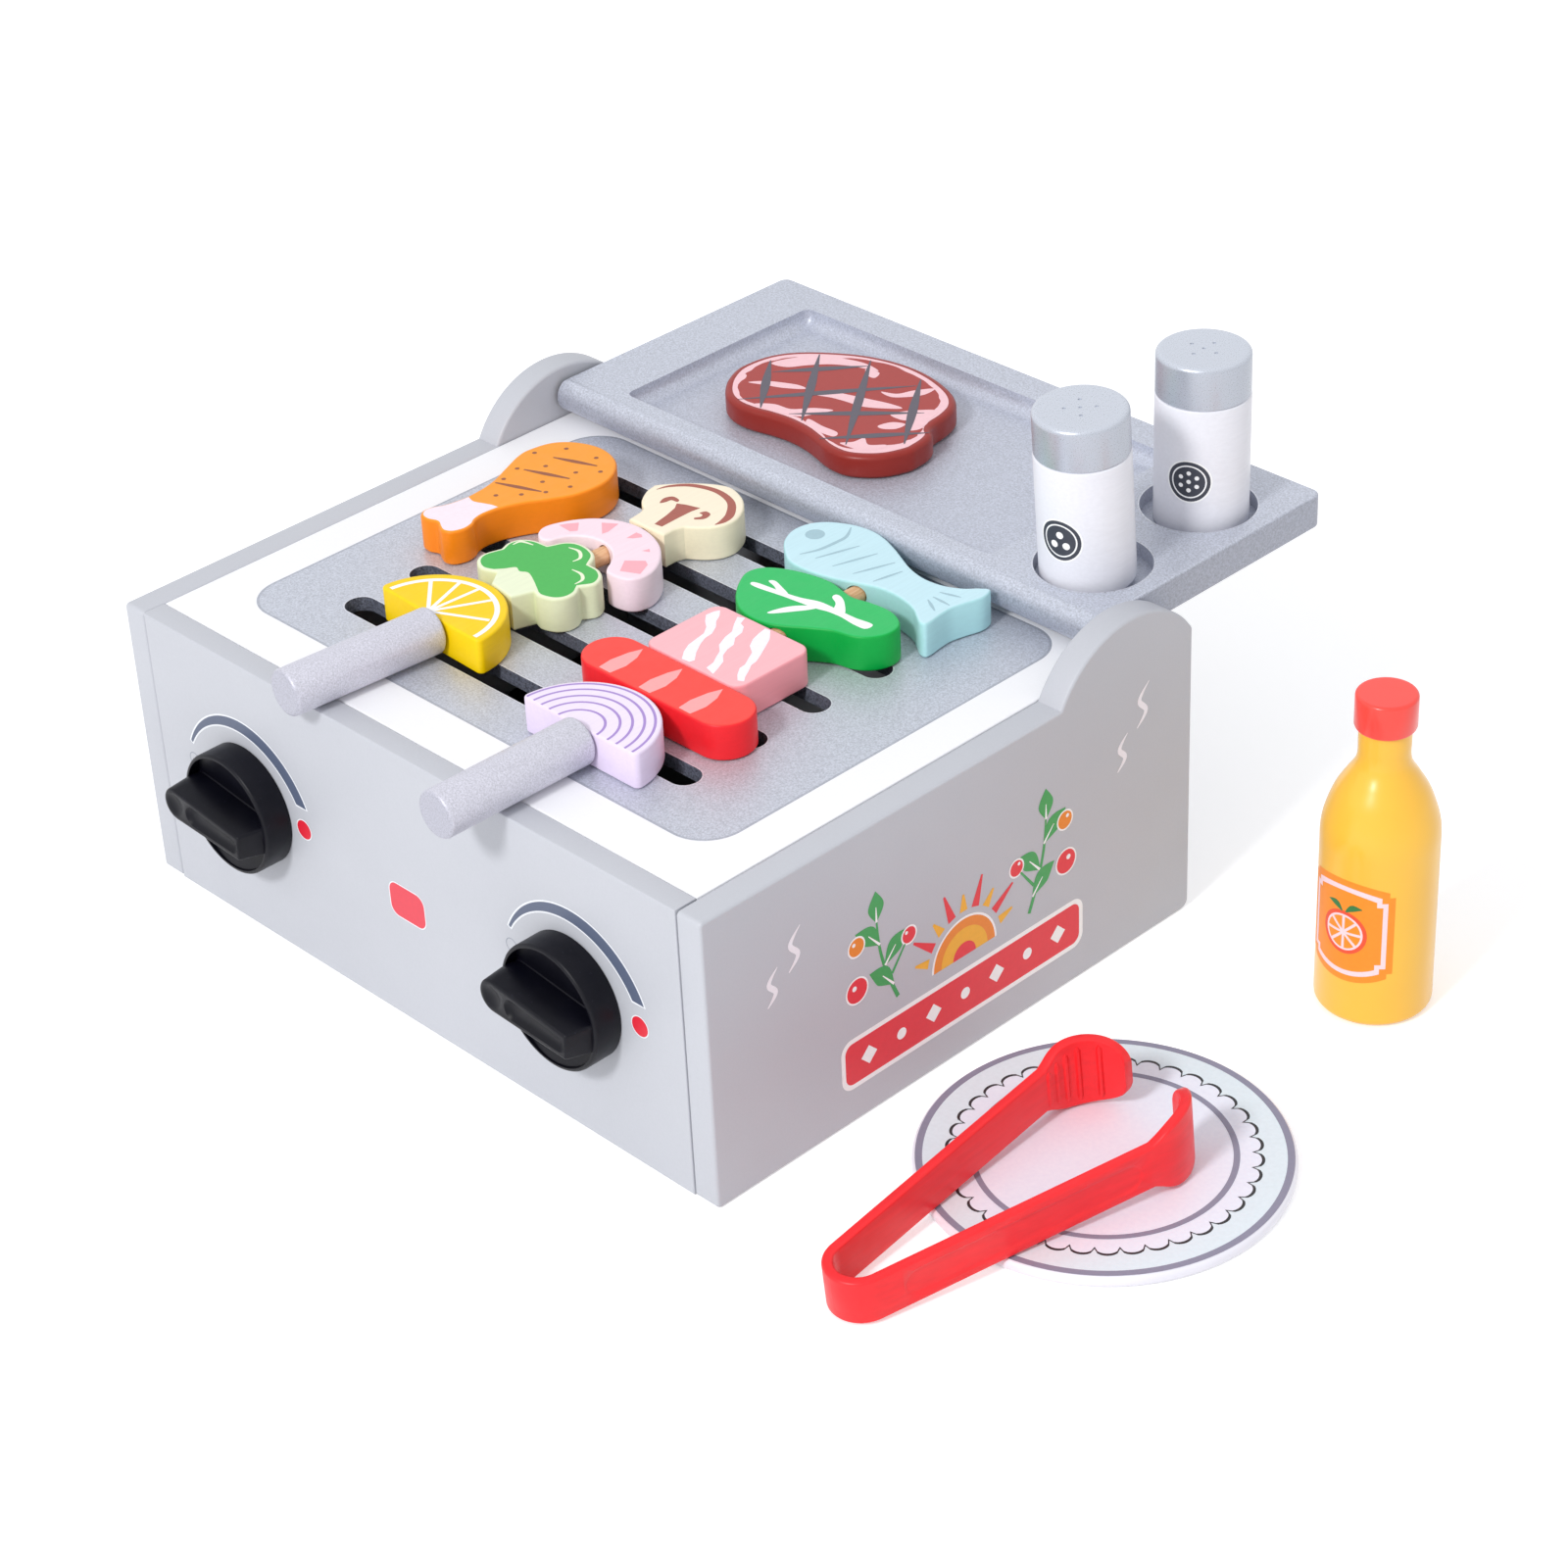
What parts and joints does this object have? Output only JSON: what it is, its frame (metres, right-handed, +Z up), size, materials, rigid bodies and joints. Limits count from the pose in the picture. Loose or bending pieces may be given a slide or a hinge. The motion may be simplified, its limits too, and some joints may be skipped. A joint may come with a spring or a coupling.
{
  "type": "toy barbecue grill",
  "caption": "Toy tabletop grill box with a slotted deck, turning knobs, a tipping tray, painted food on skewers, shakers, a plate, tongs and a sauce bottle.",
  "frame": {"origin": "centre of the underside of the grill box's base board, on the surface it stands on", "axes": "+Z up, -Y towards the front with the knobs, +X to the right seen from the front, along the whole set"},
  "size_m": [0.3956, 0.3099, 0.1733],
  "materials": {
    "panel_paint": "satin light grey paint on board",
    "board_white": "satin white paint on board with a silver grate print",
    "silver_paint": "metallic silver paint on wood",
    "knob_black": "matt black",
    "bare_wood": "bare sanded wood",
    "steel": "bright",
    "lemon_yellow": "yellow paint with white print",
    "broccoli_green": "pale green paint with green print",
    "shrimp_pink": "pink paint with print",
    "mushroom_cream": "cream paint with brown print",
    "onion_lilac": "lilac paint with purple rings",
    "sausage_red": "red paint with pink slashes",
    "bacon_pink": "pink paint with white stripes",
    "leaf_green": "green paint with white veins",
    "fish_blue": "pale blue paint with grey print",
    "drumstick_orange": "orange paint with brown marks",
    "steak_red": "red paint with a marbled print",
    "shaker_white": "white paint",
    "shaker_silver": "silver paint on wood",
    "plate_white": "white lacquer with a ring print",
    "tongs_red": "satin red",
    "bottle_yellow": "yellow paint with an orange label",
    "bottle_red": "red paint",
    "dowel_wood": "bare beech"
  },
  "bodies": {
    "grill": {"left_side_panel": "panel_paint", "right_side_panel": "panel_paint", "front_panel": "panel_paint", "back_panel": "panel_paint", "base_panel": "panel_paint", "panel_dowel_01": "dowel_wood", "panel_dowel_02": "dowel_wood", "panel_dowel_03": "dowel_wood", "panel_dowel_04": "dowel_wood", "panel_dowel_05": "dowel_wood", "panel_dowel_06": "dowel_wood", "panel_dowel_07": "dowel_wood", "panel_dowel_08": "dowel_wood", "panel_dowel_09": "dowel_wood", "panel_dowel_10": "dowel_wood", "deck_board": "board_white", "left_cleat": "board_white", "right_cleat": "board_white", "hinge_pin_left": "steel", "hinge_pin_right": "steel", "hinge_spacer_left": "knob_black", "hinge_spacer_right": "knob_black"},
    "tray": {"tray": "silver_paint"},
    "steak": {"steak": "steak_red"},
    "salt_shaker": {"salt_shaker_body": "shaker_white", "salt_shaker_cap": "shaker_silver"},
    "pepper_shaker": {"pepper_shaker_body": "shaker_white", "pepper_shaker_cap": "shaker_silver"},
    "knob_left": {"knob_left": "knob_black", "knob_left_spindle": "bare_wood", "knob_left_washer": "steel", "knob_left_screw": "steel"},
    "knob_right": {"knob_right": "knob_black", "knob_right_spindle": "bare_wood", "knob_right_washer": "steel", "knob_right_screw": "steel"},
    "left_skewer_food": {"lemon": "lemon_yellow", "broccoli": "broccoli_green", "shrimp": "shrimp_pink", "mushroom": "mushroom_cream"},
    "left_skewer": {"skewer_handle_left": "silver_paint", "skewer_stick_left": "bare_wood"},
    "right_skewer_food": {"onion": "onion_lilac", "sausage": "sausage_red", "bacon": "bacon_pink", "leaf": "leaf_green", "fish": "fish_blue"},
    "right_skewer": {"skewer_handle_right": "silver_paint", "skewer_stick_right": "bare_wood"},
    "drumstick": {"drumstick": "drumstick_orange"},
    "plate": {"plate": "plate_white"},
    "bottle": {"bottle_body": "bottle_yellow", "bottle_cap": "bottle_red"},
    "tongs": {"tongs_bend": "tongs_red"},
    "tongs_arm_left": {"tongs_left_arm": "tongs_red"},
    "tongs_arm_right": {"tongs_right_arm": "tongs_red"}
  },
  "joints": [
    {"name": "knob_left_turn", "type": "hinge", "parent": "grill", "child": "knob_left", "pos_m": [-0.07835, -0.1055, 0.05], "axis": [0, 1, 0], "continuous": true},
    {"name": "knob_right_turn", "type": "hinge", "parent": "grill", "child": "knob_right", "pos_m": [0.07675, -0.1055, 0.05], "axis": [0, 1, 0], "continuous": true},
    {"name": "tray_tilt", "type": "hinge", "parent": "grill", "child": "tray", "pos_m": [0, 0.078, 0.1104], "axis": [1, 0, 0], "range_deg": [0, 85]},
    {"name": "salt_lift", "type": "slide", "parent": "tray", "child": "salt_shaker", "axis": [0, 0, 1], "range_m": [0, 0.07]},
    {"name": "pepper_lift", "type": "slide", "parent": "tray", "child": "pepper_shaker", "axis": [0, 0, 1], "range_m": [0, 0.07]},
    {"name": "steak_lift", "type": "slide", "parent": "tray", "child": "steak", "axis": [0, 0, 1], "range_m": [0, 0.065]},
    {"name": "left_skewer_food_lift", "type": "slide", "parent": "grill", "child": "left_skewer_food", "axis": [0, 0, 1], "range_m": [0, 0.12]},
    {"name": "left_skewer_pull", "type": "slide", "parent": "left_skewer_food", "child": "left_skewer", "axis": [-0.0837, -0.9965, 0], "range_m": [0, 0.12]},
    {"name": "right_skewer_food_lift", "type": "slide", "parent": "grill", "child": "right_skewer_food", "axis": [0, 0, 1], "range_m": [0, 0.12]},
    {"name": "right_skewer_pull", "type": "slide", "parent": "right_skewer_food", "child": "right_skewer", "axis": [-0.014, -0.9999, 0], "range_m": [0, 0.135]},
    {"name": "drumstick_lift", "type": "slide", "parent": "grill", "child": "drumstick", "axis": [0, 0, 1], "range_m": [0, 0.12]},
    {"name": "bottle_lift", "type": "slide", "parent": "grill", "child": "bottle", "axis": [0, 0, 1], "range_m": [0, 0.18]},
    {"name": "plate_lift", "type": "slide", "parent": "grill", "child": "plate", "axis": [0, 0, 1], "range_m": [0, 0.15]},
    {"name": "tongs_lift", "type": "slide", "parent": "plate", "child": "tongs", "axis": [0, 0, 1], "range_m": [0, 0.08]},
    {"name": "tongs_left_squeeze", "type": "hinge", "parent": "tongs", "child": "tongs_arm_left", "pos_m": [0.1949, -0.1063, 0.00892], "axis": [0.0083, 0.0809, -0.9967], "range_deg": [0, 4.5], "stiffness_Nm_per_rad": 0.6},
    {"name": "tongs_right_squeeze", "type": "hinge", "parent": "tongs", "child": "tongs_arm_right", "pos_m": [0.1949, -0.1063, 0.00892], "axis": [-0.0083, -0.0809, 0.9967], "range_deg": [0, 4.5], "stiffness_Nm_per_rad": 0.6}
  ],
  "couplings": [
    {"joint": "tongs_right_squeeze", "follows": "tongs_left_squeeze", "ratio": 1}
  ]
}
